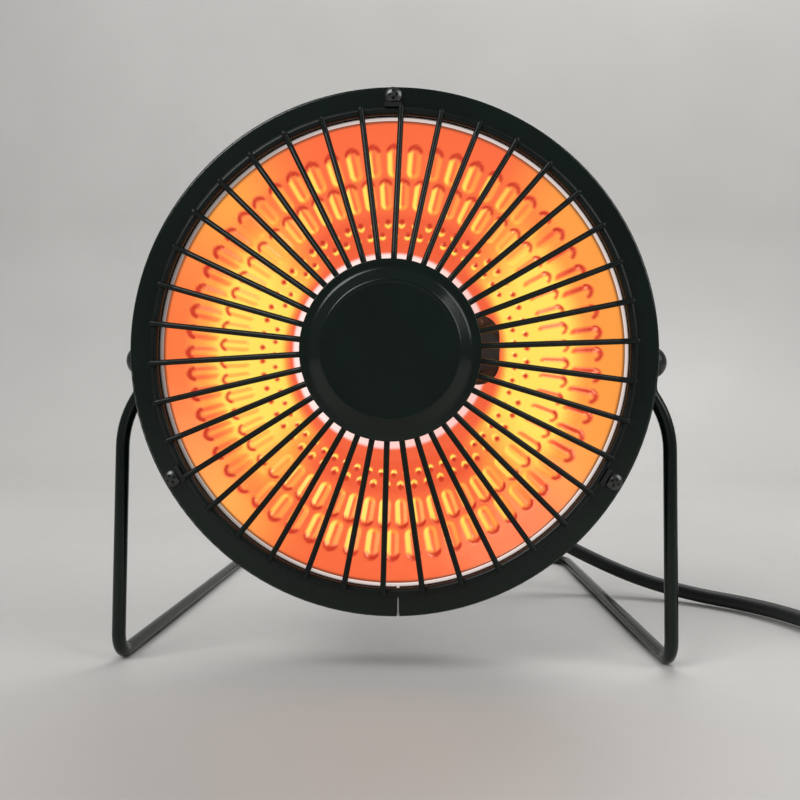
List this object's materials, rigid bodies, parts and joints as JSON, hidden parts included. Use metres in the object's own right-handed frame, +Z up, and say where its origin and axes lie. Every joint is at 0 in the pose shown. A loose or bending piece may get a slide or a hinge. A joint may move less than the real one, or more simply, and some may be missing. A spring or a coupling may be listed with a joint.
{
  "type": "radiant dish heater",
  "caption": "Small desk radiant heater: round black rim with a radial wire guard and centre cap over a glowing embossed dish, tilting on a bent wire stand, with cord and plug.",
  "frame": {"origin": "on the floor plane, under the middle of the heater's width and depth without its cord", "axes": "+Z up, front of the dish faces -Y, +X to the right seen from the front, along the tilt axis"},
  "size_m": [0.38, 0.2354, 0.207],
  "materials": {
    "black_paint": "gloss black stoved enamel",
    "guard_black": "gloss black coated wire",
    "reflector": "polished, embossed",
    "zinc": "zinc plated",
    "screw_black": "blackened steel",
    "spring_steel": "blued spring steel",
    "element_ceramic": "matt white ceramic",
    "resistance_wire": "glowing resistance wire",
    "cutout_plastic": "moulded phenolic",
    "lead_insulation": "glass braid sleeving",
    "switch_plastic": "moulded, gloss",
    "rocker_plastic": "moulded, gloss red",
    "cord_rubber": "black sheath",
    "plug_plastic": "moulded black",
    "pin_metal": "nickel plated brass",
    "tie_plastic": "flexible strap",
    "friction_fibre": "fibre washer"
  },
  "bodies": {
    "stand": {"stand_wire": "black_paint", "mains_cord": "cord_rubber", "cord_coil": "cord_rubber", "cord_tie": "tie_plastic", "cord_tail": "cord_rubber", "plug_body": "plug_plastic", "plug_pins": "pin_metal"},
    "head": {"front_hoop": "black_paint", "hoop_screws": "screw_black", "guard_clips": "spring_steel", "guard_ring_outer": "guard_black", "guard_wires": "guard_black", "guard_ring_inner": "guard_black", "centre_cap": "black_paint", "reflector_dish": "reflector", "rear_casing": "black_paint", "heating_core": "element_ceramic", "heating_coil": "resistance_wire", "core_holder_top": "element_ceramic", "core_holder_bottom": "element_ceramic", "core_bracket": "zinc", "bracket_screws": "zinc", "bracket_nuts": "zinc", "thermal_cutout": "cutout_plastic", "cutout_flange": "zinc", "cutout_rivets": "zinc", "terminal_block": "element_ceramic", "terminal_screw": "screw_black", "lead_neutral": "lead_insulation", "lead_live": "lead_insulation", "lead_switched": "lead_insulation", "lead_element_top": "lead_insulation", "lead_element_bottom": "lead_insulation", "switch_body": "switch_plastic", "cord_gland": "cord_rubber", "pivot_screw_left": "screw_black", "pivot_screw_right": "screw_black", "pivot_washer_left": "friction_fibre", "pivot_washer_right": "friction_fibre", "pivot_nut_left": "zinc", "pivot_nut_right": "zinc"},
    "rocker": {"switch_rocker": "rocker_plastic"}
  },
  "joints": [
    {"name": "head_tilt", "type": "hinge", "parent": "stand", "child": "head", "pos_m": [0, -0.07477, 0.112], "axis": [-1, 0, 0], "range_deg": [-20, 60], "deforming": ["mains_cord"]},
    {"name": "rocker_tip", "type": "hinge", "parent": "head", "child": "rocker", "pos_m": [-0.025, -0.04477, 0.0845], "axis": [1, 0, 0], "range_deg": [0, 16]}
  ]
}
